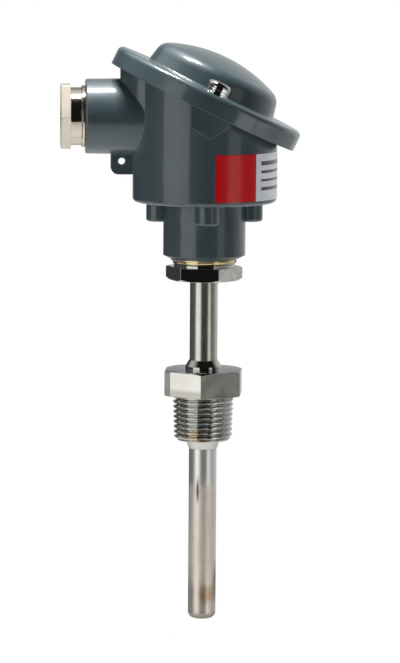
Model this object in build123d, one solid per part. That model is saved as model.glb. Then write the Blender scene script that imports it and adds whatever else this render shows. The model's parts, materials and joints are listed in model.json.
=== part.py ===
from build123d import *
from math import asin, cos, degrees, radians, sin, tan
import os

# Resistance thermometer: a cast connection head with a sloping domed cap and a cable gland, on a
# hexagon nipple, a protection tube and a hexagon process fitting with a taper thread.
# Millimetres. The sensor axis is Z and z = 0 is the underside of the process hexagon. The cable entry
# points along -X and the cap slopes down towards +X. An azimuth is measured from -Y towards +X.

# Clearances
weld_gap = 0.03
thread_gap = 0.06
loose_gap = 0.25
seat_gap = 0.1

# Tubes and the welded tip
tube_radius = 5.0
tube_bore_radius = 3.5
tube_spigot_radius = 4.6
tube_joint_height = 0.0
stem_length = 82.0
tip_length = 12.0
tip_floor = 3.5
tip_edge_radius = 2.3

# Process fitting
fitting_flats = 27.0
fitting_hex_height = 9.0
fitting_corner_azimuth = -6.5
fitting_top_chamfer = 0.5
fitting_bottom_chamfer = 0.3
fitting_chamfer_slope = 17.0
foot_radius = 6.5
foot_height = 1.2
foot_cone_height = 2.25
foot_lip = 0.2
taper_thread_radius = 10.9
taper_thread_length = 16.6
taper_per_side = 1 / 32
taper_thread_chamfer = 1.3
taper_thread_pitch = 1.814
taper_thread_depth = 1.2
taper_thread_crest = 0.2
fitting_tail_radius = 6.2
fitting_tail_length = 3.0
fitting_tail_lip = 0.13

# Head nipple
extension_length = 29.1
nipple_flats = 24.0
nipple_hex_height = 4.8
nipple_corner_azimuth = 19.3
nipple_top_chamfer = 0.3
nipple_bottom_chamfer = 0.8
nipple_chamfer_slope = 30.0
nipple_thread_radius = 12.0
nipple_thread_length = 13.0
nipple_relief_radius = 10.9
nipple_relief_height = 0.8
nipple_bore_radius = 4.2
nipple_thread_chamfer = 1.2

# Head housing
neck_gap = 2.7
neck_radius = 14.75
neck_length = 20.55
neck_bottom_chamfer = 1.4
neck_throat_radius = 9.0
barrel_radius = 25.8
barrel_wall = 3.0
barrel_bottom_radius = 1.5
floor_thickness = 3.0
pillar_radius = 4.4
pillar_pitch = 33.0
pillar_drop = 7.1
pillar_rise = 1.4
pillar_edge_radius = 1.0
pillar_screw_depth = 9.5

# Cable boss, saddle and seal lug
cable_rise = 30.4
cable_boss_reach = 42.8
cable_boss_radius = 13.3
cable_boss_root_radius = 13.6
cable_boss_edge_radius = 0.7
gland_thread_radius = 10.0
gland_thread_depth = 11.3
cable_passage_radius = 7.5
saddle_reach = 30.4
saddle_radius = 15.0
lug_reach = 33.7
lug_drop = 20.7
lug_thickness = 3.5
lug_corner_radius = 2.7
lug_hole_radius = 1.25
lug_hole_inset = 3.9
lug_hole_rise = 4.7

# Cap, in a frame of its own whose z = 0 is the lower edge of the skirt
cap_slope = 25.5
cap_centre_x = -1.0
skirt_rise = 3.5
cap_radius = 36.0
rim_height = 7.0
rim_edge_radius = 1.9
skirt_wall = 2.2
skirt_depth = 4.0
gasket_thickness = 1.0
gasket_inset = 0.3
dome_ledge = 11.4
dome_rise = 12.6
dome_crown_radius = 52.0
dome_shoulder_inset = 1.6
dome_shoulder_radius = 5.0
dome_foot_fillet = 0.8
dome_wall = 2.6

# Cap screws and the pads that take them
cap_screw_inset = 6.1
cap_screw_radius = 2.5
cap_screw_length = 14.0
cap_screw_tip_chamfer = 0.5
cap_screw_tip_room = 0.8
cap_head_radius = 4.25
cap_head_height = 2.9
cap_head_edge_radius = 1.7
spot_face_radius = 5.2
spot_face_depth = 0.4
flat_washer_radius = 4.7
flat_washer_thickness = 0.8
spring_washer_radius = 4.1
spring_washer_thickness = 1.1
spring_washer_split = 1.0
spring_washer_split_tilt = 20.0
spring_washer_split_azimuth = 60.0
pad_width = 14.0
pad_side_drop = 5.2
pad_tip_drop = 9.5
pad_corner_radius = 1.2
cross_recess_width = 1.2
cross_recess_length = 4.6
cross_recess_depth = 1.7

# Cable gland
gland_flats = 22.4
gland_hex_length = 3.4
gland_corner_azimuth = 90.0
gland_hex_chamfer = 0.2
gland_chamfer_slope = 30.0
gland_shank_radius = 10.3
gland_shank_length = 3.9
gland_collar_radius = 11.0
gland_collar_thickness = 1.4
gland_bore_radius = 6.5
thrust_washer_bore_radius = 6.8
grommet_bore_radius = 6.2
gland_mouth_chamfer = 0.8
gland_thread_length = 6.6
gland_thread_chamfer = 0.8
thrust_washer_thickness = 1.0

# Measuring insert
insert_flange_clearance = 1.8
insert_flange_thickness = 1.5
sheath_radius = 3.0
sheath_wall = 0.5
sheath_end_thickness = 1.0
sheath_stand = 2.0
element_radius = 1.9
element_length = 15.0
wire_radius = 0.35
wire_ring_radius = 1.3
wire_bend_radius = 2.0
insulation_gap = 0.05

# Terminal block on the insert
block_radius = 18.0
block_width = 24.0
block_height = 8.5
block_hole_radius = 4.5
barrier_thickness = 1.6
barrier_height = 5.0
barrier_sink = 1.0
terminal_x = 6.2
terminal_y = 9.5
terminal_length = 7.0
terminal_width = 6.5
terminal_height = 6.0
terminal_edge_chamfer = 0.5
terminal_wire_hole_radius = 1.3
terminal_wire_hole_rise = 2.4
terminal_screw_radius = 1.5
terminal_screw_head_radius = 2.6
terminal_screw_head_height = 1.8
slot_width = 0.8
slot_depth = 0.9

# Spring screws of the insert
insert_screw_radius = 2.0
insert_screw_length = 22.0
insert_head_radius = 3.6
insert_head_height = 2.6
spring_radius = 3.1
spring_wire_radius = 0.4
spring_turns = 5

# Earth screw on the rear wall of the cavity
ground_drop = 9.5
ground_pad_width = 9.0
ground_pad_rise = 2.3
ground_screw_radius = 2.0
ground_screw_length = 4.5
ground_head_radius = 3.4
ground_head_height = 2.4
ground_washer_radius = 4.0
ground_washer_thickness = 0.9

# Label on the barrel
label_start_azimuth = 5.0
label_end_azimuth = 129.0
label_rise = 1.7
label_height = 16.7
label_thickness = 0.15

# Heights along the sensor axis that follow from the sizes above
foot_top = fitting_hex_height + foot_height + foot_cone_height
fitting_bottom = -taper_thread_length - fitting_tail_length
nipple_bottom = foot_top + extension_length
nipple_hex_top = nipple_bottom + nipple_hex_height
nipple_top = nipple_hex_top + nipple_relief_height + nipple_thread_length
neck_bottom = nipple_hex_top + neck_gap
barrel_bottom = neck_bottom + neck_length
floor_top = barrel_bottom + floor_thickness
cable_height = barrel_bottom + cable_rise
skirt_height = cable_height + skirt_rise
ground_height = skirt_height - ground_drop
lug_bottom = cable_height - lug_drop
insert_seat = floor_top + pillar_rise
flange_top = insert_seat + insert_flange_thickness
block_top = flange_top + block_height
sheath_top = flange_top + sheath_stand
tip_bottom = -stem_length
tube_bottom = tip_bottom + tip_length
sheath_bottom = tip_bottom + tip_floor + seat_gap
element_bottom = sheath_bottom + sheath_end_thickness + seat_gap
element_top = element_bottom + element_length
insert_head_bottom = insert_seat + insert_screw_length - pillar_screw_depth + seat_gap
cavity_radius = barrel_radius - barrel_wall
insert_flange_radius = cavity_radius - insert_flange_clearance
dome_foot_radius = cap_radius - dome_ledge
cap_screw_offset = cap_radius - cap_screw_inset
gasket_seat = skirt_depth - gasket_thickness
skirt_inner_radius = cap_radius - skirt_wall
pad_limit_radius = skirt_inner_radius - 2 * loose_gap
screw_seat = rim_height - spot_face_depth
washer_top = screw_seat + flat_washer_thickness
cap_head_bottom = washer_top + spring_washer_thickness
thread_end = cable_boss_reach - gland_thread_depth
tall = 4 * cap_radius

cap_frame = Plane(
    origin=(cap_centre_x, 0, skirt_height),
    x_dir=(cos(radians(cap_slope)), 0, -sin(radians(cap_slope))),
    z_dir=(sin(radians(cap_slope)), 0, cos(radians(cap_slope))),
).location

# Local z is the distance from the sensor axis along -X
cable_frame = Plane(origin=(0, 0, cable_height), x_dir=(0, 1, 0), z_dir=(-1, 0, 0)).location

# Local z runs from the sensor axis along +Y
ground_frame = Plane(origin=(0, 0, ground_height), x_dir=(1, 0, 0), z_dir=(0, 1, 0)).location


def disc(radius, bottom, top):
    """Round bar on Z between two heights."""
    bar = Cylinder(radius, top - bottom, align=(Align.CENTER, Align.CENTER, Align.MIN))
    return Pos(0, 0, bottom) * bar


def turned(*points):
    """Solid of revolution on Z, from its half section as (radius, height) points."""
    section = make_face(Polyline(*points, close=True))
    return revolve(Plane.XZ * section, Axis.Z)


def hexagon(flats, bottom, top, corner_azimuth, bottom_chamfer, top_chamfer, chamfer_slope):
    """Hexagon bar whose corners are turned back at each end, by the heights of the two chamfers."""
    corner = flats / 2 / cos(radians(30))
    slope = tan(radians(chamfer_slope))
    outline = RegularPolygon(corner, 6, rotation=corner_azimuth - 90)
    prism = Pos(0, 0, bottom) * extrude(outline, top - bottom)
    blank = turned(
        (0, bottom),
        (corner - bottom_chamfer / slope, bottom),
        (corner, bottom + bottom_chamfer),
        (corner, top - top_chamfer),
        (corner - top_chamfer / slope, top),
        (0, top),
    )
    return prism & blank


def slotted_screw(shank_radius, length, head_radius, head_height, head_bottom):
    """Cheese head screw pointing down, with a driver slot."""
    screw = disc(head_radius, head_bottom, head_bottom + head_height)
    screw = chamfer(screw.edges().sort_by(Axis.Z)[-1], head_height / 6)
    screw += disc(shank_radius, head_bottom - length, head_bottom)
    slot = Box(2 * head_radius + 1, slot_width, 2 * slot_depth)
    return screw - Pos(0, 0, head_bottom + head_height) * slot


def protection_tube():
    """Lower tube, turned down where it goes into the process fitting."""
    top = tube_joint_height - weld_gap
    tube = disc(tube_radius, tube_bottom, fitting_bottom - weld_gap)
    tube += disc(tube_spigot_radius, tube_bottom, top)
    return tube - disc(tube_bore_radius, tube_bottom, top)


def extension_tube():
    """Upper tube, from its turned-down end in the process fitting to the nipple."""
    tube = disc(tube_radius, foot_top + weld_gap, nipple_hex_top)
    tube += disc(tube_spigot_radius, tube_joint_height, nipple_hex_top)
    return tube - disc(tube_bore_radius, tube_joint_height, nipple_hex_top)


def tube_tip():
    """Round-ended cup, butt welded to the lower tube."""
    cup = disc(tube_radius, tip_bottom, tube_bottom)
    cup = fillet(cup.edges().sort_by(Axis.Z)[0], tip_edge_radius)
    return cup - disc(tube_bore_radius, tip_bottom + tip_floor, tube_bottom)


def taper_thread_radius_at(height):
    return taper_thread_radius + taper_per_side * height


def taper_thread_grooves():
    """Section points of the taper thread from its end upwards, drawn as rings at the thread's pitch."""
    points = []
    crest = taper_thread_chamfer - taper_thread_length
    while crest + taper_thread_pitch < 0:
        root = crest + taper_thread_pitch / 2
        start = crest + taper_thread_crest / 2
        end = crest + taper_thread_pitch - taper_thread_crest / 2
        points += [
            (taper_thread_radius_at(start), start),
            (taper_thread_radius_at(root) - taper_thread_depth, root),
            (taper_thread_radius_at(end), end),
        ]
        crest += taper_thread_pitch
    return points


def process_fitting():
    end_radius = taper_thread_radius_at(-taper_thread_length)
    body = turned(
        (0, fitting_bottom),
        (tube_radius + fitting_tail_lip, fitting_bottom),
        (fitting_tail_radius, -taper_thread_length),
        (end_radius - taper_thread_chamfer, -taper_thread_length),
        (end_radius, -taper_thread_length + taper_thread_chamfer),
        *taper_thread_grooves(),
        (taper_thread_radius, 0),
        (foot_radius, 0),
        (foot_radius, fitting_hex_height + foot_height),
        (tube_radius + foot_lip, foot_top),
        (0, foot_top),
    )
    body += hexagon(
        fitting_flats, 0, fitting_hex_height, fitting_corner_azimuth, fitting_bottom_chamfer,
        fitting_top_chamfer, fitting_chamfer_slope,
    )
    return body - disc(tube_spigot_radius + weld_gap, fitting_bottom, foot_top)


def head_nipple():
    thread = nipple_thread_radius - thread_gap
    relief_top = nipple_hex_top + nipple_relief_height
    body = turned(
        (0, nipple_bottom),
        (nipple_relief_radius, nipple_bottom),
        (nipple_relief_radius, relief_top),
        (thread, relief_top + thread - nipple_relief_radius),
        (thread, nipple_top - nipple_thread_chamfer),
        (thread - nipple_thread_chamfer, nipple_top),
        (0, nipple_top),
    )
    body += hexagon(
        nipple_flats, nipple_bottom, nipple_hex_top, nipple_corner_azimuth, nipple_bottom_chamfer,
        nipple_top_chamfer, nipple_chamfer_slope,
    )
    body -= disc(tube_radius + weld_gap, nipple_bottom, nipple_hex_top + weld_gap)
    return body - disc(nipple_bore_radius, nipple_bottom, nipple_top)


def pillar_places():
    """Places of the four insert pillars: right, rear, left and front."""
    reach = pillar_pitch / 2
    return [Pos(reach, 0, 0), Pos(0, reach, 0), Pos(-reach, 0, 0), Pos(0, -reach, 0)]


def pad(side):
    """Screw pad on the front (-1) or rear (1) of the barrel, with a pointed lower end."""
    half = pad_width / 2
    outline = make_face(
        Polyline(
            (-half, cable_height + tall),
            (-half, skirt_height - pad_side_drop),
            (0, skirt_height - pad_tip_drop),
            (half, skirt_height - pad_side_drop),
            (half, cable_height + tall),
            close=True,
        )
    )
    outline = fillet(outline.vertices().sort_by(Axis.Y)[:3], pad_corner_radius)
    block = extrude(Plane.XZ * outline, cap_radius, dir=(0, side, 0))
    return block & trimming_bar()


def trimming_bar():
    """Everything that fits up inside the skirt of the cap."""
    return cap_frame * disc(pad_limit_radius, -tall, tall)


def saddle():
    """Round wall on the cable boss that carries the overhanging side of the rim."""
    wall = Pos(saddle_radius - saddle_reach, 0, 0) * disc(saddle_radius, cable_height, tall)
    return wall & trimming_bar()


def cable_boss():
    boss = turned(
        (0, cavity_radius - 1),
        (cable_boss_root_radius, cavity_radius - 1),
        (cable_boss_radius, cable_boss_reach),
        (0, cable_boss_reach),
    )
    return cable_frame * fillet(boss.edges().sort_by(Axis.Z)[-1], cable_boss_edge_radius)


def lug():
    """Flat lug under the cable boss, with a hole for a seal wire."""
    width = lug_reach - barrel_radius + barrel_wall / 2
    height = cable_height - (cable_boss_radius + gland_thread_radius) / 2 - lug_bottom
    corner = Pos(-lug_reach, lug_bottom)
    plate = corner * Rectangle(width, height, align=(Align.MIN, Align.MIN))
    plate = fillet(plate.vertices().sort_by(Axis.X)[:2].sort_by(Axis.Y)[:1], lug_corner_radius)
    plate -= corner * Pos(lug_hole_inset, lug_hole_rise) * Circle(lug_hole_radius)
    return extrude(Plane.XZ * plate, lug_thickness / 2, both=True)


def neck():
    """Threaded neck and, round it, the lower ends of the four insert pillars."""
    chamfer = neck_bottom_chamfer
    slant = neck_radius - nipple_thread_radius - thread_gap
    body = turned(
        (0, neck_bottom),
        (neck_radius - slant, neck_bottom),
        (neck_radius, neck_bottom + chamfer),
        (neck_radius, barrel_bottom + 1),
        (0, barrel_bottom + 1),
    )
    boss = disc(pillar_radius, barrel_bottom - pillar_drop, insert_seat)
    boss = fillet(boss.edges().sort_by(Axis.Z)[0], pillar_edge_radius)
    for place in pillar_places():
        body += place * boss
    return body


def head_housing():
    barrel = disc(barrel_radius, barrel_bottom, tall)
    barrel = fillet(barrel.edges().sort_by(Axis.Z)[0], barrel_bottom_radius)
    body = barrel + neck() + cable_boss() + saddle() + pad(-1) + pad(1)
    body -= disc(cavity_radius, floor_top, 2 * tall)

    pillar = disc(pillar_radius, floor_top - 1, insert_seat)
    for place in pillar_places():
        body += place * pillar
    ground_pad = Box(ground_pad_width, ground_pad_width, barrel_wall + ground_pad_rise)
    body += ground_frame * Pos(0, 0, barrel_radius - (barrel_wall + ground_pad_rise) / 2) * ground_pad

    screw_hole = disc(insert_screw_radius + thread_gap, insert_seat - pillar_screw_depth, tall)
    for place in pillar_places():
        body -= place * screw_hole
    body -= disc(nipple_thread_radius, neck_bottom - 1, nipple_top + 1)
    body -= disc(neck_throat_radius, neck_bottom, floor_top + 1)
    body -= cable_frame * disc(gland_thread_radius, thread_end, cable_boss_reach + 1)
    body -= cable_frame * disc(cable_passage_radius, cavity_radius - barrel_wall, cable_boss_reach)
    body -= ground_frame * disc(
        ground_screw_radius + thread_gap, 0, ground_seat() + ground_screw_length
    )

    cap_screw_hole = disc(cap_screw_radius + thread_gap, cap_screw_tip() - cap_screw_tip_room, tall)
    for side in (-1, 1):
        body -= cap_frame * Pos(0, side * cap_screw_offset, 0) * cap_screw_hole
    above_rim = Pos(0, 0, gasket_seat) * Box(
        2 * tall, 2 * tall, 3 * tall, align=(Align.CENTER, Align.CENTER, Align.MIN)
    )
    body -= cap_frame * above_rim
    return body + lug()


def cap_screw_tip():
    """Height of the screw's lower end in the frame of the cap."""
    return cap_head_bottom - cap_screw_length


def dome(foot_radius, foot_height, top_height, crown_radius, shoulder_radius):
    """Drafted side wall that turns over a round shoulder into a shallow crown."""
    side_radius = foot_radius - dome_shoulder_inset
    spread = degrees(asin(side_radius / crown_radius))
    crown = CenterArc((0, top_height - crown_radius), crown_radius, 90 - spread, spread)
    sides = Polyline(crown @ 1, (0, foot_height), (foot_radius, foot_height), crown @ 0)
    section = make_face([crown, sides])
    section = fillet(section.vertices().sort_by_distance(crown @ 0)[0], shoulder_radius)
    return revolve(Plane.XZ * section, Axis.Z)


def cap():
    lid = disc(cap_radius, 0, rim_height)
    lid = fillet(lid.edges().sort_by(Axis.Z)[-1], rim_edge_radius)
    top_height = rim_height + dome_rise
    lid += dome(dome_foot_radius, rim_height, top_height, dome_crown_radius, dome_shoulder_radius)
    foot = lid.edges().filter_by(GeomType.CIRCLE).filter_by(
        lambda edge: abs(edge.radius - dome_foot_radius) < 0.01
    )
    lid = fillet(foot, dome_foot_fillet)
    lid -= disc(skirt_inner_radius, 0, skirt_depth)
    lid -= dome(
        dome_foot_radius - dome_wall,
        skirt_depth,
        top_height - dome_wall,
        dome_crown_radius - dome_wall,
        dome_shoulder_radius - dome_wall,
    )
    for side in (-1, 1):
        place = Pos(0, side * cap_screw_offset, 0)
        lid -= place * disc(cap_screw_radius + loose_gap, 0, rim_height)
        lid -= place * disc(spot_face_radius, screw_seat, rim_height + 1)
    return cap_frame * lid


def cap_gasket():
    """Flat ring between the sloping rim of the barrel and the lid."""
    ring = disc(barrel_radius - gasket_inset, 0, tall) - disc(cavity_radius + gasket_inset, 0, tall)
    layer = Pos(0, 0, gasket_seat) * Box(
        tall, tall, gasket_thickness, align=(Align.CENTER, Align.CENTER, Align.MIN)
    )
    return ring & cap_frame * layer


def cap_screw(side):
    """Pan head screw with a cross recess."""
    head_top = cap_head_bottom + cap_head_height
    head = disc(cap_head_radius, cap_head_bottom, head_top)
    head = fillet(head.edges().sort_by(Axis.Z)[-1], cap_head_edge_radius)
    screw = head + disc(cap_screw_radius, cap_screw_tip(), cap_head_bottom)
    screw = chamfer(screw.edges().sort_by(Axis.Z)[0], cap_screw_tip_chamfer)
    for turn in (45, 135):
        bar = Box(cross_recess_length, cross_recess_width, 2 * cross_recess_depth)
        screw -= Pos(0, 0, head_top) * Rot(0, 0, turn) * bar
    return cap_frame * Pos(0, side * cap_screw_offset, 0) * screw


def cap_washer(side):
    washer = disc(flat_washer_radius, screw_seat, washer_top)
    washer -= disc(cap_screw_radius + loose_gap, screw_seat, washer_top)
    return cap_frame * Pos(0, side * cap_screw_offset, 0) * washer


def cap_spring_washer(side):
    """Split ring under the head of a cap screw."""
    washer = disc(spring_washer_radius, washer_top, cap_head_bottom)
    washer -= disc(cap_screw_radius + loose_gap, washer_top, cap_head_bottom)
    split = Pos(spring_washer_radius, 0, washer_top) * Rot(0, spring_washer_split_tilt, 0) * Box(
        2 * spring_washer_radius, spring_washer_split, 4 * spring_washer_thickness
    )
    washer = Rot(0, 0, spring_washer_split_azimuth) * (washer - split)
    return cap_frame * Pos(0, side * cap_screw_offset, 0) * washer


def gland_nut():
    """Pressure screw of the cable gland: hexagon, smooth shank and thread, bored for the cable."""
    shank_end = cable_boss_reach + gland_collar_thickness
    hex_start = shank_end + gland_shank_length
    outer_end = hex_start + gland_hex_length
    inner_end = cable_boss_reach - gland_thread_length
    thread = gland_thread_radius - thread_gap
    body = turned(
        (0, inner_end),
        (thread - gland_thread_chamfer, inner_end),
        (thread, inner_end + gland_thread_chamfer),
        (thread, shank_end),
        (gland_shank_radius, shank_end),
        (gland_shank_radius, hex_start),
        (0, hex_start),
    )
    body += hexagon(
        gland_flats, hex_start, outer_end, gland_corner_azimuth, gland_hex_chamfer, gland_hex_chamfer,
        gland_chamfer_slope,
    )
    body -= disc(gland_bore_radius, inner_end, outer_end)
    mouth = turned(
        (0, outer_end - gland_mouth_chamfer),
        (gland_bore_radius, outer_end - gland_mouth_chamfer),
        (gland_bore_radius + gland_mouth_chamfer, outer_end),
        (0, outer_end),
    )
    return cable_frame * (body - mouth)


def gland_collar():
    top = cable_boss_reach + gland_collar_thickness
    ring = disc(gland_collar_radius, cable_boss_reach, top)
    ring = chamfer(ring.edges(), gland_collar_thickness / 4)
    return cable_frame * (ring - disc(gland_thread_radius, cable_boss_reach, top))


def gland_thrust_washer():
    top = cable_boss_reach - gland_thread_length - seat_gap
    bottom = top - thrust_washer_thickness
    outer = gland_thread_radius - 2 * loose_gap
    return cable_frame * (disc(outer, bottom, top) - disc(thrust_washer_bore_radius, bottom, top))


def gland_grommet():
    top = cable_boss_reach - gland_thread_length - seat_gap - thrust_washer_thickness
    outer = gland_thread_radius - 2 * loose_gap
    return cable_frame * (disc(outer, thread_end, top) - disc(grommet_bore_radius, thread_end, top))


def insert_flange():
    plate = disc(insert_flange_radius, insert_seat, flange_top)
    plate -= disc(sheath_radius + weld_gap, insert_seat, flange_top)
    hole = disc(insert_screw_radius + loose_gap, insert_seat, flange_top)
    for place in pillar_places()[::2]:
        plate -= place * hole
    return plate


def insert_sheath():
    tube = disc(sheath_radius, sheath_bottom, sheath_top)
    tube = fillet(tube.edges().sort_by(Axis.Z)[0], sheath_radius / 3)
    return tube - disc(sheath_radius - sheath_wall, sheath_bottom + sheath_end_thickness, sheath_top)


def wire_quarters():
    """Signs of the four quarters, one for each wire and terminal."""
    return [(1, 1), (-1, 1), (-1, -1), (1, -1)]


def mineral_insulation():
    """Four-bore core that keeps the wires apart inside the sheath."""
    core = disc(sheath_radius - sheath_wall - insulation_gap, element_top, sheath_top)
    offset = wire_ring_radius * sin(radians(45))
    for x, y in wire_quarters():
        core -= Pos(x * offset, y * offset, 0) * disc(
            wire_radius + insulation_gap, element_top, sheath_top
        )
    return core


def sensing_element():
    return disc(element_radius, element_bottom, element_top)


def lead_wire(x, y):
    """Wire from the element up the sheath and over to the hole of its terminal."""
    offset = wire_ring_radius * sin(radians(45))
    height = block_top + terminal_wire_hole_rise
    terminal_face = terminal_y - terminal_width / 2
    path = FilletPolyline(
        (x * offset, y * offset, element_top),
        (x * offset, y * offset, height),
        (x * terminal_x, y * (terminal_face + wire_radius), height),
        radius=wire_bend_radius,
    )
    section = Plane(origin=path @ 0, z_dir=path % 0) * Circle(wire_radius)
    return sweep(section, path=path)


def terminal_block():
    """Ceramic block with a centre hole for the wires and barriers between its terminals."""
    body = disc(block_radius, flange_top, block_top)
    body &= Pos(0, 0, block_top) * Box(block_width, tall, tall)
    height = barrier_height + barrier_sink
    middle = block_top - barrier_sink + height / 2
    for place in (-1, 1):
        side = place * (terminal_length / 2 + terminal_x + barrier_thickness / 2 + loose_gap)
        body += Pos(side, 0, middle) * Box(barrier_thickness, 2 * terminal_y + terminal_width, height)
    body += Pos(0, 0, middle) * Box(block_width, barrier_thickness, height)
    return body - disc(block_hole_radius, flange_top, tall)


def terminal(x, y):
    """Brass clamp block with a wire hole along Y and a screw hole on top."""
    base = Pos(0, 0, block_top)
    block = Box(
        terminal_length, terminal_width, terminal_height, align=(Align.CENTER, Align.CENTER, Align.MIN)
    )
    block = chamfer(block.edges().filter_by(Axis.Z), terminal_edge_chamfer)
    wire_hole = Pos(0, 0, terminal_wire_hole_rise) * Rot(90, 0, 0) * Cylinder(
        terminal_wire_hole_radius, 2 * terminal_width
    )
    screw_hole = disc(terminal_screw_radius + thread_gap, terminal_wire_hole_rise, 2 * terminal_height)
    return base * Pos(x * terminal_x, y * terminal_y, 0) * (block - wire_hole - screw_hole)


def terminal_screw(x, y):
    top = block_top + terminal_height + seat_gap
    length = terminal_height - terminal_wire_hole_rise - wire_radius
    screw = slotted_screw(
        terminal_screw_radius, length, terminal_screw_head_radius, terminal_screw_head_height, top
    )
    return Pos(x * terminal_x, y * terminal_y, 0) * screw


def insert_screw(place):
    return place * slotted_screw(
        insert_screw_radius, insert_screw_length, insert_head_radius, insert_head_height,
        insert_head_bottom,
    )


def insert_spring(place):
    """Helical spring between the insert flange and the head of its screw."""
    bottom = flange_top + spring_wire_radius + weld_gap
    height = insert_head_bottom - spring_wire_radius - weld_gap - bottom
    path = Helix(height / spring_turns, height, spring_radius, center=(0, 0, bottom))
    section = Plane(origin=path @ 0, z_dir=path % 0) * RegularPolygon(spring_wire_radius, 6)
    return place * sweep(section, path=path, is_frenet=True)


def ground_seat():
    """Distance of the earth screw's seat from the sensor axis."""
    return cavity_radius - ground_pad_rise


def ground_washer():
    top = ground_seat()
    bottom = top - ground_washer_thickness
    washer = disc(ground_washer_radius, bottom, top)
    return ground_frame * (washer - disc(ground_screw_radius + loose_gap, bottom, top))


def ground_screw():
    """Earth screw that points out through the rear wall."""
    screw = slotted_screw(
        ground_screw_radius, ground_screw_length, ground_head_radius, ground_head_height, 0
    )
    seat = ground_seat() - ground_washer_thickness
    return ground_frame * Pos(0, 0, seat) * Rot(180, 0, 0) * screw


def label():
    """Thin label wrapped part way round the barrel."""
    bottom = barrel_bottom + label_rise
    section = Pos(barrel_radius + label_thickness / 2, bottom + label_height / 2) * Rectangle(
        label_thickness, label_height
    )
    turn = label_end_azimuth - label_start_azimuth
    sheet = revolve(Plane.XZ * section, Axis.Z, revolution_arc=turn)
    return Rot(0, 0, label_start_azimuth - 90) * sheet


def all_parts():
    right, rear, left, front = pillar_places()
    nodes = {
        "protection_tube": protection_tube(),
        "extension_tube": extension_tube(),
        "tube_tip": tube_tip(),
        "process_fitting": process_fitting(),
        "head_nipple": head_nipple(),
        "head_housing": head_housing(),
        "label": label(),
        "cap": cap(),
        "cap_gasket": cap_gasket(),
        "gland_nut": gland_nut(),
        "gland_collar": gland_collar(),
        "gland_thrust_washer": gland_thrust_washer(),
        "gland_grommet": gland_grommet(),
        "insert_flange": insert_flange(),
        "insert_sheath": insert_sheath(),
        "mineral_insulation": mineral_insulation(),
        "sensing_element": sensing_element(),
        "terminal_block": terminal_block(),
        "insert_screw_left": insert_screw(left),
        "insert_screw_right": insert_screw(right),
        "insert_spring_left": insert_spring(left),
        "insert_spring_right": insert_spring(right),
        "ground_screw": ground_screw(),
        "ground_washer": ground_washer(),
    }
    for name, side in (("front", -1), ("rear", 1)):
        nodes[f"cap_screw_{name}"] = cap_screw(side)
        nodes[f"cap_washer_{name}"] = cap_washer(side)
        nodes[f"cap_spring_washer_{name}"] = cap_spring_washer(side)
    for number, (x, y) in enumerate(wire_quarters(), start=1):
        nodes[f"terminal_{number}"] = terminal(x, y)
        nodes[f"terminal_screw_{number}"] = terminal_screw(x, y)
        nodes[f"lead_wire_{number}"] = lead_wire(x, y)
    return nodes


os.makedirs("parts", exist_ok=True)
for node, solid in all_parts().items():
    export_step(solid, f"parts/{node}.step")
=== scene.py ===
import json
from math import cos, pi, radians, sin

import bmesh
import bpy
from mathutils import Matrix, Vector

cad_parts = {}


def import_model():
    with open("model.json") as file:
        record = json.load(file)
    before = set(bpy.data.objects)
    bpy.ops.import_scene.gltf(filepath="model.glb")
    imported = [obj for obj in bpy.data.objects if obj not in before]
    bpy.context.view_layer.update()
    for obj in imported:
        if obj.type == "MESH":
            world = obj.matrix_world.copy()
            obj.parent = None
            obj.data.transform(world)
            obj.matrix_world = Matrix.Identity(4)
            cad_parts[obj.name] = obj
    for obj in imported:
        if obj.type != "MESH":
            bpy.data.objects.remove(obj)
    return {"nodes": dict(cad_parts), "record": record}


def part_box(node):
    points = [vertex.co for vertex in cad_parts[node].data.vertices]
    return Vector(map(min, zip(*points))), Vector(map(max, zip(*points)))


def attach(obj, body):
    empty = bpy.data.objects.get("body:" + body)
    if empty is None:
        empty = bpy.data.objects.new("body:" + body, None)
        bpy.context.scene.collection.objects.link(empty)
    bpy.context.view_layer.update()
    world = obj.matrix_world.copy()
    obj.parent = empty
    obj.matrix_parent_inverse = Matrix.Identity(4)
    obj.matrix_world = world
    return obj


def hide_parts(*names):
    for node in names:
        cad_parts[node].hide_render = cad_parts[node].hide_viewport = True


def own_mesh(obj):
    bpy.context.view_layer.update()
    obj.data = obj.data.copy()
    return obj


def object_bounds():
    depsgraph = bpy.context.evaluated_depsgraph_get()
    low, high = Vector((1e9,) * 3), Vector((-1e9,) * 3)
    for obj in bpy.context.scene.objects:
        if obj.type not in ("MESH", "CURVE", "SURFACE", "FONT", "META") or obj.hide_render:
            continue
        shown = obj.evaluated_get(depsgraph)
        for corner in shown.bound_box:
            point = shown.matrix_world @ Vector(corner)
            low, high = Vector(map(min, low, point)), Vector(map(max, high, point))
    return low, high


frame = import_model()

cad_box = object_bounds()

MM = 0.001

# Lengths are in metres. Angles round the sensor axis are in degrees, from -Y towards +X.

# The gland's hexagon lies beyond this x, its polished shank before it
GLAND_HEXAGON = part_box("gland_nut")[0].x + 3.5 * MM

# Process hexagon: its top edge, two distances from the axis, past the weld foot and out on the
# flats, the band of painted shade towards its lower edge, and the angles of a dull flat painted
# darker as shade and of a painted dark reflection
HEXAGON_TOP = 8.8 * MM
FOOT_REACH = 6.6 * MM
FLAT_REACH = 10 * MM
LOW_SHADE_BAND = (3.6 * MM, 1.6 * MM)
DULL_SHADED_FLAT = (-6.5, 53.5)
DARK_REFLECTION_STRIP = (-66.5, -58)

# Head nipple: the angles of its satin flat, which is also painted lighter as painted light
SATIN_FLAT = (19, 79)

# Lower tube: its round end, and the heights between which each finish, the heat tint that is
# partly painted shade, and the painted shade at the end come in
STEM_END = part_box("tube_tip")[0].z
GLOSSY_COLLAR = (-34.5 * MM, -31 * MM)
HEAT_TINT_AND_SHADE = (-67 * MM, -73 * MM)
TURNED = (-64 * MM, -72 * MM)
END_PAINTED_SHADE = (STEM_END + 3.2 * MM, STEM_END + 0.8 * MM)

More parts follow.
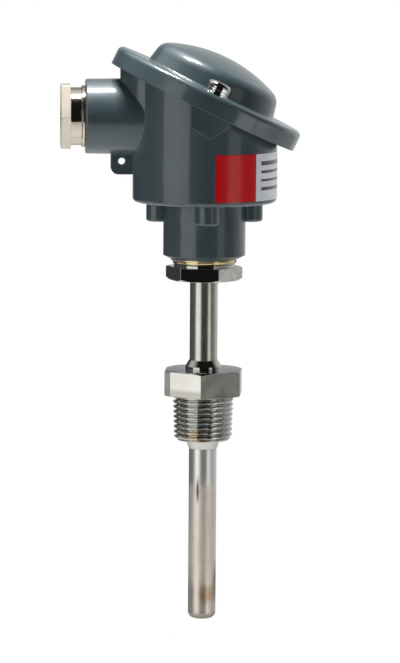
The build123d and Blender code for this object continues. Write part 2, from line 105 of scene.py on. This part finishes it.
# Label: where the red field ends and the bars begin, and each bar's height and thickness in
# millimetres and the angle at which it ends
RED_END = 41
BARS_START = 47
LABEL_BARS = ((84.6, 1.5, 112), (81.6, 1.0, 100), (78.6, 0.9, 106), (75.6, 1.2, 108))
# Share of its colour that the label gives off, as painted light that brightens it
LABEL_PAINTED_GLOW = 0.34

# Taper pipe thread: 1 in 16 on the diameter, 14 threads to the inch
PIPE_PITCH = 1.814 * MM
PIPE_DEPTH = 1.2 * MM
PIPE_RADIUS = 10.9 * MM
PIPE_TAPER = 1 / 32
PIPE_START = -0.25 * MM
PIPE_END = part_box("process_fitting")[0].z + 3.1 * MM
PIPE_CHAMFER = 1.2 * MM

# Straight thread that carries the head, with a chamfer that rises by its slope
NECK_PITCH = 1.5 * MM
NECK_DEPTH = 0.85 * MM
NECK_RADIUS = 11.94 * MM
nipple_low, nipple_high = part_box("head_nipple")
NECK_START = nipple_low.z + 5.7 * MM
NECK_END = nipple_high.z - 1.3 * MM
NECK_CHAMFER = 1.04 * MM
NECK_CHAMFER_SLOPE = 1.2

# Both threads: the share of a turn at full depth and at no depth, and the grid of the surface
ROOT_SHARE = 0.1
CREST_SHARE = 0.24
STEPS_AROUND = 160
ROWS_PER_TURN = 14
THREAD_SHARP_ANGLE = 28

# Springs of the insert
SPRING_RADIUS = 3.1 * MM
SPRING_WIRE = 0.4 * MM
SPRING_TURNS = 5
SPRING_STEPS_PER_TURN = 36
WIRE_SIDES = 10
SPRING_SHARP_ANGLE = 50

# Floor: half its side, its drop below the sensor, the distances between which it fades to white
# for the camera, and how white it is inside them
FLOOR_HALF = 1.6
FLOOR_DROP = 0.4
FLOOR_FADE = (0.2, 1.0)
FLOOR_LEAST_WHITE = 0.25

# Room that the object sees: its own faint light, and glows, each with its direction, the cosines
# at which it starts and would be full, and its level
ROOM_LIGHT = 0.01
GLOWS = (
    ((0.64, 0.77, 0.0), 0.3, 1.15, 0.73),
    ((-1.0, 0.1, 0.0), 0.4, 1.0, 0.08),
    ((-0.4, 0.3, 0.87), 0.72, 1.0, 1.0),
)

# Lamps, which face the head: name, azimuth, elevation, distance, width, height and radiance
LAMPS_FACE = Vector((0, 0, 0.1))
SOFTBOXES = (
    ("left_box", -50, -1, 1.3, 1.05, 0.95, 1.15),
    ("right_box", 44.5, 0, 1.3, 0.5, 0.42, 0.5),
    ("right_low_box", 44.5, -18.4, 1.3, 0.5, 0.4, 1.15),
    ("low_side_box", 72, -22.6, 1.3, 0.55, 0.38, 0.7),
    ("top_box", -90, 83, 1.0, 0.22, 0.4, 66.0),
)


class Nodes:
    """Short helper to write the nodes of a tree as a chain of named calls."""

    def __init__(self, tree):
        self.tree = tree

    def add(self, kind, inputs=None, **settings):
        node = self.tree.nodes.new(kind)
        for key, value in settings.items():
            setattr(node, key, value)
        for key, value in (inputs or {}).items():
            self.put(node.inputs[key], value)
        return node

    def put(self, socket, value):
        if hasattr(value, "links"):
            self.tree.links.new(value, socket)
        else:
            socket.default_value = value

    def math(self, operation, *values):
        node = self.add("ShaderNodeMath", operation=operation)
        for number, value in enumerate(values):
            self.put(node.inputs[number], value)
        return node.outputs[0]

    def length(self, first, second):
        """Root of the sum of two squares."""
        squares = (self.math("POWER", value, 2.0) for value in (first, second))
        return self.math("SQRT", self.math("ADD", *squares))

    def between(self, value, low, high):
        """1 where the value lies between two limits, 0 elsewhere."""
        above = self.math("GREATER_THAN", value, low)
        return self.math("MULTIPLY", above, self.math("LESS_THAN", value, high))

    def map_range(self, value, low, high, to_low=0.0, to_high=1.0):
        limits = {"From Min": low, "From Max": high, "To Min": to_low, "To Max": to_high}
        node = self.add(
            "ShaderNodeMapRange", {"Value": value, **limits}, interpolation_type="SMOOTHSTEP"
        )
        return node.outputs["Result"]


class Material(Nodes):
    """Nodes of a new material, with its principled shader."""

    def __init__(self, name):
        self.material = bpy.data.materials.new(name)
        self.material.use_nodes = True
        super().__init__(self.material.node_tree)
        self.shader = self.tree.nodes["Principled BSDF"]

    def set(self, **values):
        for key, value in values.items():
            self.put(self.shader.inputs[key.replace("_", " ")], value)

    def mix(self, factor, first, second):
        node = self.add("ShaderNodeMix", data_type="RGBA")
        self.put(node.inputs["Factor"], factor)
        self.put(node.inputs[6], first)
        self.put(node.inputs[7], second)
        return node.outputs[2]

    def tinted(self, colour, mask, share, tint):
        """The colour, turned by a share into the tint where the mask is 1."""
        return self.mix(self.math("MULTIPLY", mask, share), colour, tint)

    def mix_shader(self, factor, first, second):
        return self.add("ShaderNodeMixShader", {"Fac": factor, 1: first, 2: second}).outputs[0]

    def place(self):
        """The point in the frame of the sensor at rest."""
        return self.add("ShaderNodeTexCoord").outputs["Object"]

    def along(self, axis):
        """The point's X, Y or Z."""
        return self.add("ShaderNodeSeparateXYZ", {"Vector": self.place()}).outputs[axis]

    def turn(self):
        """The point's angle round the sensor axis, in radians."""
        return self.math("ARCTAN2", self.along("X"), self.math("MULTIPLY", self.along("Y"), -1.0))

    def reach(self):
        """The point's distance from the sensor axis."""
        return self.length(self.along("X"), self.along("Y"))

    def on_side(self, start, end):
        """1 between two angles round the sensor axis, 0 elsewhere."""
        return self.between(self.turn(), radians(start), radians(end))

    def spot(self, azimuth, spread, height, rise):
        """Soft spot on a round bar, about an angle and a height."""
        across = self.math("SUBTRACT", self.turn(), radians(azimuth))
        upward = self.math("SUBTRACT", self.along("Z"), height)
        distance = self.length(
            self.math("DIVIDE", across, radians(spread)), self.math("DIVIDE", upward, rise)
        )
        return self.map_range(distance, 1.0, 0.15)

    def noise(self, scale, detail=4.0, roughness=0.5, stretch=(1, 1, 1)):
        mapping = self.add("ShaderNodeMapping", {"Vector": self.place(), "Scale": stretch})
        inputs = {"Scale": scale, "Detail": detail, "Roughness": roughness}
        node = self.add("ShaderNodeTexNoise", {"Vector": mapping.outputs[0], **inputs})
        return node.outputs["Fac"]

    def bump(self, height, strength, distance, normal=None):
        node = self.add(
            "ShaderNodeBump", {"Height": height, "Strength": strength, "Distance": distance}
        )
        if normal is not None:
            self.put(node.inputs["Normal"], normal)
        return node.outputs["Normal"]

    def rounded_edges(self, radius):
        return self.add("ShaderNodeBevel", {"Radius": radius}, samples=6).outputs["Normal"]


def grey(level):
    """Linear grey of a level from 0 to 1."""
    return (level, level, level, 1.0)


def srgb(red, green, blue):
    """Linear colour from the 0 to 255 values of a picture."""
    def channel(value):
        value /= 255
        return value / 12.92 if value <= 0.04045 else ((value + 0.055) / 1.055) ** 2.4
    return (channel(red), channel(green), channel(blue), 1.0)


def head_paint():
    """Blue-grey enamel on a sand casting: glossy, with a faint orange peel."""
    n = Material("head_paint")
    drift = n.noise(22.0, 3.0)
    fine = n.noise(900.0, 2.0)
    soft = n.noise(130.0, 2.0)
    normal = n.bump(soft, 0.10, 0.0004, n.rounded_edges(0.0005))
    n.set(
        Base_Color=n.mix(n.map_range(drift, 0.35, 0.65), srgb(59, 77, 83), srgb(65, 83, 89)),
        Roughness=n.map_range(soft, 0.3, 0.7, 0.42, 0.5),
        Normal=n.bump(fine, 0.04, 0.0001, normal),
        IOR=1.6,
        Specular_Tint=(0.94, 1.0, 1.0, 1.0),
        Coat_Weight=1.0,
        Coat_Roughness=0.11,
        Coat_IOR=1.5,
        Coat_Normal=normal,
    )
    return n.material


def plated_brass():
    """Nickel plate over brass, bright and warm, and duller on the gland's hexagon."""
    n = Material("plated_brass")
    lathe = n.noise(60.0, 3.0, stretch=(40, 1, 1))
    cloud = n.noise(90.0)
    polish = n.map_range(cloud, 0.3, 0.7, 0.06, 0.12)
    on_hexagon = n.math("LESS_THAN", n.along("X"), GLAND_HEXAGON)
    n.set(
        Base_Color=n.mix(n.map_range(cloud, 0.3, 0.7), srgb(230, 221, 206), srgb(216, 205, 190)),
        Roughness=n.math("ADD", polish, n.math("MULTIPLY", on_hexagon, 0.3)),
        Normal=n.bump(lathe, 0.08, 0.00005, n.rounded_edges(0.0002)),
        Metallic=1.0,
    )
    return n.material


def steel(name, colours, lathe_marks, draw_marks):
    """Steel with rings from turning round the sensor axis and lines from drawing along it.

    Returns its nodes, its colour and its rings, for the finish that follows.
    """
    n = Material(name)
    rings = n.noise(30.0, 5.0, 0.65, stretch=(2, 2, 140))
    lines = n.noise(260.0, 4.0, 0.6, stretch=(1, 1, 0.02))
    cloud = n.noise(120.0)
    normal = n.bump(rings, lathe_marks, 0.00004, n.rounded_edges(0.0002))
    n.set(Normal=n.bump(lines, draw_marks, 0.00004, normal), Metallic=1.0)
    return n, n.mix(n.map_range(cloud, 0.3, 0.7), *colours), rings


def stainless():
    """Bright turned steel of the upper tube and the insert."""
    n, colour, rings = steel("stainless", (srgb(212, 210, 201), srgb(202, 200, 191)), 0.02, 0.05)
    n.set(Base_Color=colour, Roughness=n.map_range(rings, 0.3, 0.7, 0.23, 0.26))
    return n.material


def polished_steel():
    """Mirror finish of the head nipple, with one satin flat painted lighter as painted light, and
    a warmer cut on its thread, painted paler as painted light.
    """
    n, colour, _ = steel("polished_steel", (srgb(208, 208, 204), srgb(198, 198, 194)), 0.03, 0.0)
    grain = n.noise(420.0)
    on_thread = n.math("GREATER_THAN", n.along("Z"), NECK_START)
    below_thread = n.math("LESS_THAN", n.along("Z"), NECK_START)
    satin = n.math("MULTIPLY", below_thread, n.on_side(*SATIN_FLAT))
    # painted light: the satin flat is painted a lighter, mottled grey, besides being rougher
    mottled_painted_light = n.mix(n.map_range(grain, 0.3, 0.7), srgb(216, 217, 213), srgb(248, 248, 244))
    # painted light: the thread is painted paler to lift it out of the neck's shade, and warmer
    colour = n.mix(on_thread, colour, srgb(244, 232, 200))
    n.set(
        Base_Color=n.mix(satin, colour, mottled_painted_light),
        Roughness=n.map_range(satin, 0.0, 1.0, 0.06, 0.38),
    )
    return n.material


def fitting_steel():
    """The process hexagon: a bright flat with a painted dark reflection at its edge, a dull one
    beside it and the top painted darker as shade, and painted shade low on the flats.
    """
    n, colour, _ = steel("fitting_steel", (srgb(218, 216, 208), srgb(208, 206, 198)), 0.06, 0.0)
    cloud = n.noise(140.0)
    below_top = n.math("LESS_THAN", n.along("Z"), HEXAGON_TOP)
    over_top = n.math("GREATER_THAN", n.along("Z"), HEXAGON_TOP)
    on_flats = n.math("MULTIPLY", n.math("GREATER_THAN", n.reach(), FLAT_REACH), below_top)
    top = n.math("MULTIPLY", n.math("GREATER_THAN", n.reach(), FOOT_REACH), over_top)
    low = n.math("MULTIPLY", on_flats, n.map_range(n.along("Z"), *LOW_SHADE_BAND))
    painted_dark_strip = n.math("MULTIPLY", on_flats, n.on_side(*DARK_REFLECTION_STRIP))
    dull_shaded_flat = n.math("MULTIPLY", on_flats, n.on_side(*DULL_SHADED_FLAT))
    # painted shade: one flat is painted dark grey, and is also rougher
    painted_shade_grey = n.mix(n.map_range(cloud, 0.35, 0.65), srgb(108, 112, 106), srgb(132, 134, 126))
    # painted shade: the flats darken towards their lower edge
    colour = n.tinted(colour, low, 0.8, srgb(168, 165, 156))
    # painted dark reflection: a dark strip at one edge of a flat
    colour = n.tinted(colour, painted_dark_strip, 0.9, srgb(120, 121, 120))
    # painted shade: the top of the hexagon is painted a darker blue-grey
    colour = n.mix(top, colour, srgb(132, 140, 146))
    n.set(
        Base_Color=n.mix(dull_shaded_flat, colour, painted_shade_grey),
        Roughness=n.map_range(dull_shaded_flat, 0.0, 1.0, 0.1, 0.3),
    )
    return n.material


def threaded_steel():
    """The pipe thread, browned by the weld on its lowest turns, and the matt foot below it."""
    n, colour, _ = steel("threaded_steel", (srgb(206, 207, 202), srgb(194, 196, 192)), 0.0, 0.0)
    browned = n.spot(-20, 36, PIPE_END + 2 * MM, 4.4 * MM)
    foot = n.math("LESS_THAN", n.along("Z"), PIPE_END)
    colour = n.tinted(colour, browned, 0.45, srgb(212, 178, 130))
    n.set(
        Base_Color=n.mix(foot, colour, srgb(226, 225, 219)),
        Roughness=n.map_range(foot, 0.0, 1.0, 0.13, 0.4),
    )
    return n.material


def stem_steel():
    """Ground steel of the lower tube: glossier at the fitting, with a heat tint near the tip that
    is partly painted shade, painted shade on one side and at the end, and a small dark patch at
    the collar.
    """
    n, colour, _ = steel("stem_steel", (srgb(252, 242, 230), srgb(243, 231, 218)), 0.12, 0.3)
    z = n.along("Z")
    cloud = n.map_range(n.noise(160.0, 5.0, 0.6), 0.25, 0.75, 0.6, 1.0)
    glossy = n.map_range(z, *GLOSSY_COLLAR)
    tints = (
        # heat tint near the tip, partly painted shade that darkens the tip
        (n.math("MULTIPLY", n.map_range(z, *HEAT_TINT_AND_SHADE), cloud), 0.35, srgb(140, 130, 114)),
        # painted shade: one side of the tip is painted dark
        (n.spot(78, 44, -69 * MM, 11 * MM), 0.9, srgb(78, 74, 64)),
        (n.spot(18, 52, -72.8 * MM, 5 * MM), 0.7, srgb(190, 148, 88)),
        # a small dark patch at the lower edge of the glossy collar
        (n.spot(-24, 9, -34.5 * MM, 6.5 * MM), 0.9, srgb(60, 56, 50)),
        # painted shade: the round end is painted darker
        (n.map_range(z, *END_PAINTED_SHADE), 0.75, srgb(104, 101, 92)),
    )
    colour = n.mix(glossy, colour, srgb(234, 233, 228))
    for mask, share, tint in tints:
        colour = n.tinted(colour, mask, share, tint)
    matt = n.map_range(glossy, 0.0, 1.0, 0.5, 0.34)
    turned = n.math("MULTIPLY", n.map_range(z, *TURNED), 0.16)
    n.set(Base_Color=colour, Roughness=n.math("SUBTRACT", matt, turned))
    return n.material


def zinc():
    """Bright zinc plate on small steel parts."""
    n = Material("zinc_plate")
    cloud = n.noise(500.0)
    n.set(
        Base_Color=n.mix(n.map_range(cloud, 0.3, 0.7), srgb(205, 205, 202), srgb(190, 191, 190)),
        Roughness=n.map_range(cloud, 0.3, 0.7, 0.08, 0.14),
        Normal=n.rounded_edges(0.0002),
        Metallic=1.0,
    )
    return n.material


def rubber():
    """Black rubber of the gasket and the gland's seal."""
    n = Material("seal_rubber")
    grain = n.noise(1200.0, 3.0)
    n.set(
        Base_Color=n.mix(grain, grey(0.012), grey(0.022)),
        Roughness=n.map_range(grain, 0.3, 0.7, 0.55, 0.7),
        Normal=n.bump(grain, 0.2, 0.0001),
    )
    return n.material


def label_film():
    """Glossy film, which gives off a share of its colour as painted light: a red field, then
    silver with bars.
    """
    n = Material("label_film")
    grain = n.noise(400.0, 3.0)
    red = n.mix(grain, srgb(168, 4, 8), srgb(180, 8, 13))
    bare = n.mix(grain, srgb(186, 190, 198), srgb(200, 204, 211))
    silver_field = n.mix(label_bars(n), bare, grey(0.02))
    colour = n.mix(n.math("LESS_THAN", n.turn(), radians(RED_END)), silver_field, red)
    n.set(
        Base_Color=colour,
        Emission_Color=colour,
        Emission_Strength=LABEL_PAINTED_GLOW,
        Roughness=0.3,
        Coat_Weight=0.6,
        Coat_Roughness=0.12,
    )
    return n.material


def label_bars(n):
    """1 on the plain bars, one under the other, where such a label has its lines of print."""
    bars = 0.0
    for height, thickness, end in LABEL_BARS:
        inside = n.math("COMPARE", n.along("Z"), height * MM, thickness * MM / 2)
        bar = n.math("MULTIPLY", inside, n.on_side(BARS_START, end))
        bars = n.math("MAXIMUM", bars, bar)
    return bars


def ceramic():
    """Off-white ceramic of the terminal block."""
    n = Material("ceramic")
    grain = n.noise(900.0)
    n.set(
        Base_Color=n.mix(grain, srgb(236, 232, 220), srgb(226, 221, 208)),
        Roughness=n.map_range(grain, 0.3, 0.7, 0.4, 0.6),
        Normal=n.bump(grain, 0.1, 0.0001, n.rounded_edges(0.0003)),
    )
    return n.material


def bare_brass():
    """Unplated brass, slightly dulled."""
    n = Material("bare_brass")
    grain = n.noise(700.0)
    n.set(
        Base_Color=n.mix(grain, srgb(214, 178, 104), srgb(196, 160, 88)),
        Roughness=n.map_range(grain, 0.3, 0.7, 0.22, 0.36),
        Normal=n.rounded_edges(0.0002),
        Metallic=1.0,
    )
    return n.material


def wire_metal():
    """Drawn metal of the lead wires."""
    n = Material("wire_metal")
    grain = n.noise(900.0, 3.0)
    n.set(
        Base_Color=n.mix(grain, srgb(176, 172, 166), srgb(196, 192, 186)),
        Roughness=n.map_range(grain, 0.3, 0.7, 0.25, 0.4),
        Metallic=1.0,
    )
    return n.material


SLOT_MATERIALS = {
    "grey_paint": head_paint(),
    "nickel": plated_brass(),
    "stainless": stainless(),
    "zinc_steel": zinc(),
    "seal_rubber": rubber(),
    "label_film": label_film(),
    "ceramic": ceramic(),
    "brass": bare_brass(),
    "nickel_wire": wire_metal(),
}


def dress_frame():
    """Gives each node of the frame the material of its slot, and the lower tube its own."""
    lower_tube = stem_steel()
    for row in frame["record"]["subparts"]:
        node = frame["nodes"][row["node"]]
        material = SLOT_MATERIALS[row["material_slot"]]
        if row["node"] in ("protection_tube", "tube_tip"):
            material = lower_tube
        if not node.material_slots:
            node.data.materials.append(material)
        for slot in node.material_slots:
            slot.material = material


def new_piece(name, builder, material, sharp_angle):
    """Object from a bmesh, smooth apart from edges sharper than an angle."""
    mesh = bpy.data.meshes.new(name)
    builder.to_mesh(mesh)
    builder.free()
    for attribute in [a for a in mesh.attributes if a.name == "custom_normal"]:
        mesh.attributes.remove(attribute)
    mesh.polygons.foreach_set("use_smooth", [True] * len(mesh.polygons))
    mesh.set_sharp_from_angle(angle=radians(sharp_angle))
    mesh.materials.clear()
    mesh.materials.append(material)
    piece = bpy.data.objects.new(name, mesh)
    bpy.context.collection.objects.link(piece)
    return piece


def cut_copy(node, low, high):
    """Copy of a CAD node's mesh without what lies between two heights."""
    whole = bmesh.new()
    for keep_above, height in ((True, high), (False, low)):
        part = bmesh.new()
        part.from_mesh(frame["nodes"][node].data)
        bmesh.ops.remove_doubles(part, verts=part.verts, dist=1e-6)
        geometry = part.verts[:] + part.edges[:] + part.faces[:]
        bmesh.ops.bisect_plane(
            part, geom=geometry, plane_co=(0, 0, height), plane_no=(0, 0, 1),
            clear_inner=keep_above, clear_outer=not keep_above,
        )
        half = bpy.data.meshes.new("half")
        part.to_mesh(half)
        part.free()
        whole.from_mesh(half)
        bpy.data.meshes.remove(half)
    return whole


def join_rings(builder, rings, reverse=False):
    """Quads between each closed ring of points and the next, wound one way or the other."""
    around = len(rings[0])
    for first, second in zip(rings, rings[1:]):
        for step in range(around):
            after = (step + 1) % around
            corners = [first[step], first[after], second[after], second[step]]
            builder.faces.new(corners[:1] + corners[:0:-1] if reverse else corners)


def thread_depth(phase):
    """Share of the full depth along one turn: 0 at the crest, 1 at the narrower root."""
    away = abs(phase - 0.5) * 2
    return 1 - min(max((away - ROOT_SHARE) / (1 - ROOT_SHARE - CREST_SHARE), 0.0), 1.0)


def add_thread(builder, low, high, radius_at, pitch, depth, limit_at):
    """Right-hand screw surface between two heights, as a fine grid of rings."""
    rows = round((high - low) / pitch * ROWS_PER_TURN)
    rings = []
    for row in range(rows + 1):
        z = low + (high - low) * row / rows
        ring = []
        for step in range(STEPS_AROUND):
            angle = 2 * pi * step / STEPS_AROUND
            phase = (z / pitch - angle / (2 * pi)) % 1.0
            cut = 0.0 if row in (0, rows) else depth * thread_depth(phase)
            radius = min(radius_at(z) - cut, limit_at(z))
            ring.append(builder.verts.new((radius * cos(angle), radius * sin(angle), z)))
        rings.append(ring)
    join_rings(builder, rings)


def pipe_fitting():
    """Process fitting with its real taper thread cut in."""
    builder = cut_copy("process_fitting", PIPE_END, PIPE_START)

    def radius_at(z):
        return PIPE_RADIUS + z * PIPE_TAPER

    def limit_at(z):
        return radius_at(PIPE_END) - PIPE_CHAMFER + (z - PIPE_END)

    add_thread(builder, PIPE_END, PIPE_START, radius_at, PIPE_PITCH, PIPE_DEPTH, limit_at)
    piece = new_piece("process_fitting_threaded", builder, fitting_steel(), THREAD_SHARP_ANGLE)
    piece.data.materials.append(threaded_steel())
    for face in piece.data.polygons:
        if face.center.z < PIPE_START:
            face.material_index = 1
    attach(piece, "head")
    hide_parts("process_fitting")


def nipple():
    """Head nipple with its real thread cut in, of which a few turns show under the neck."""
    builder = cut_copy("head_nipple", NECK_START, NECK_END)

    def radius_at(z):
        return NECK_RADIUS

    def limit_at(z):
        return NECK_RADIUS - NECK_CHAMFER + (z - NECK_START) * NECK_CHAMFER_SLOPE

    add_thread(builder, NECK_START, NECK_END, radius_at, NECK_PITCH, NECK_DEPTH, limit_at)
    piece = new_piece("head_nipple_threaded", builder, polished_steel(), THREAD_SHARP_ANGLE)
    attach(piece, "head")
    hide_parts("head_nipple")


def spring(side):
    """Round-wire spring of the insert."""
    node = "insert_spring_" + side
    low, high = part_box(node)
    middle = (low + high) / 2
    bottom, top = low.z + SPRING_WIRE, high.z - SPRING_WIRE
    builder = bmesh.new()
    steps = SPRING_STEPS_PER_TURN * SPRING_TURNS
    rings = []
    for step in range(steps + 1):
        turn = 2 * pi * SPRING_TURNS * step / steps
        outward = Vector((cos(turn), sin(turn), 0))
        centre = Vector((middle.x, middle.y, bottom + (top - bottom) * step / steps))
        centre += outward * SPRING_RADIUS
        ring = []
        for corner in range(WIRE_SIDES):
            angle = 2 * pi * corner / WIRE_SIDES
            offset = outward * cos(angle) + Vector((0, 0, 1)) * sin(angle)
            ring.append(builder.verts.new(centre + offset * SPRING_WIRE))
        rings.append(ring)
    join_rings(builder, rings, reverse=True)
    builder.faces.new(rings[0])
    builder.faces.new(list(reversed(rings[-1])))
    piece = new_piece(node + "_wire", builder, SLOT_MATERIALS["zinc_steel"], SPRING_SHARP_ANGLE)
    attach(piece, "head")
    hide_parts(node)
    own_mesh(piece)


def stage():
    """Pale floor with a soft shadow, white further out and clear to a camera below it."""
    half = FLOOR_HALF
    mesh = bpy.data.meshes.new("floor")
    corners = [(-half, -half, 0), (half, -half, 0), (half, half, 0), (-half, half, 0)]
    mesh.from_pydata(corners, [], [(0, 1, 2, 3)])
    floor = bpy.data.objects.new("floor", mesh)
    floor.location.z = cad_box[0].z - FLOOR_DROP
    bpy.context.collection.objects.link(floor)
    n = Material("floor_white")
    n.set(Base_Color=grey(0.8), Roughness=0.9)
    camera_ray = n.add("ShaderNodeLightPath").outputs["Is Camera Ray"]
    glow = n.add("ShaderNodeEmission", {"Color": grey(1.0)}).outputs[0]
    white = n.map_range(n.reach(), *FLOOR_FADE, FLOOR_LEAST_WHITE, 1.0)
    pale = n.mix_shader(n.math("MULTIPLY", white, camera_ray), n.shader.outputs[0], glow)
    from_below = n.add("ShaderNodeNewGeometry").outputs["Backfacing"]
    clear = n.add("ShaderNodeBsdfTransparent").outputs[0]
    seen = n.mix_shader(n.math("MULTIPLY", from_below, camera_ray), pale, clear)
    n.put(n.tree.nodes["Material Output"].inputs["Surface"], seen)
    mesh.materials.append(n.material)


def world():
    """White for the camera; the object sees a dark room with a few soft glows."""
    studio = bpy.data.worlds.new("studio")
    bpy.context.scene.world = studio
    studio.use_nodes = True
    n = Nodes(studio.node_tree)
    direction = n.add("ShaderNodeTexCoord").outputs["Generated"]
    camera_ray = n.add("ShaderNodeLightPath").outputs["Is Camera Ray"]
    room = ROOM_LIGHT
    for towards, start, full, level in GLOWS:
        cosine = n.add(
            "ShaderNodeVectorMath", {0: direction, 1: Vector(towards).normalized()},
            operation="DOT_PRODUCT",
        ).outputs["Value"]
        room = n.math("ADD", room, n.map_range(cosine, start, full, 0.0, level))
    background = n.tree.nodes["Background"]
    n.put(background.inputs["Color"], grey(1.0))
    n.put(background.inputs["Strength"], n.math("MAXIMUM", room, camera_ray))


def softbox(name, azimuth, elevation, distance, width, height, radiance):
    """Rectangular lamp that faces the head and that the camera doesn't see."""
    data = bpy.data.lights.new(name, "AREA")
    data.shape = "RECTANGLE"
    data.size, data.size_y = width, height
    data.energy = radiance * pi * width * height
    lamp = bpy.data.objects.new(name, data)
    a, e = radians(azimuth), radians(elevation)
    away = Vector((sin(a) * cos(e), -cos(a) * cos(e), sin(e)))
    lamp.location = LAMPS_FACE + away * distance
    lamp.rotation_euler = away.to_track_quat("Z", "Y").to_euler()
    lamp.visible_camera = False
    bpy.context.collection.objects.link(lamp)


def camera():
    """The photograph's viewing angle: slightly from the left and above, from 1.3 m away."""
    azimuth, elevation, roll = radians(-3.3), radians(7.2), radians(0.4)
    distance, focal_px, long_side_px = 1.3, 3614.0, 663.0
    aim = Vector((-1.3, 0, 22.6)) * MM
    back = Vector(
        (sin(azimuth) * cos(elevation), -cos(azimuth) * cos(elevation), sin(elevation))
    )
    data = bpy.data.cameras.new("camera")
    data.sensor_width = 36.0
    data.lens = focal_px / long_side_px * data.sensor_width
    data.clip_start, data.clip_end = 0.05, 20.0
    eye = bpy.data.objects.new("camera", data)
    turn = back.to_track_quat("Z", "Y").to_matrix() @ Matrix.Rotation(roll, 3, "Z")
    eye.location = aim + back * distance
    eye.rotation_euler = turn.to_euler()
    bpy.context.collection.objects.link(eye)
    bpy.context.scene.camera = eye


camera()
dress_frame()
pipe_fitting()
nipple()
spring("left")
spring("right")
stage()
world()
for box in SOFTBOXES:
    softbox(*box)
bpy.context.scene.view_settings.view_transform = "Standard"
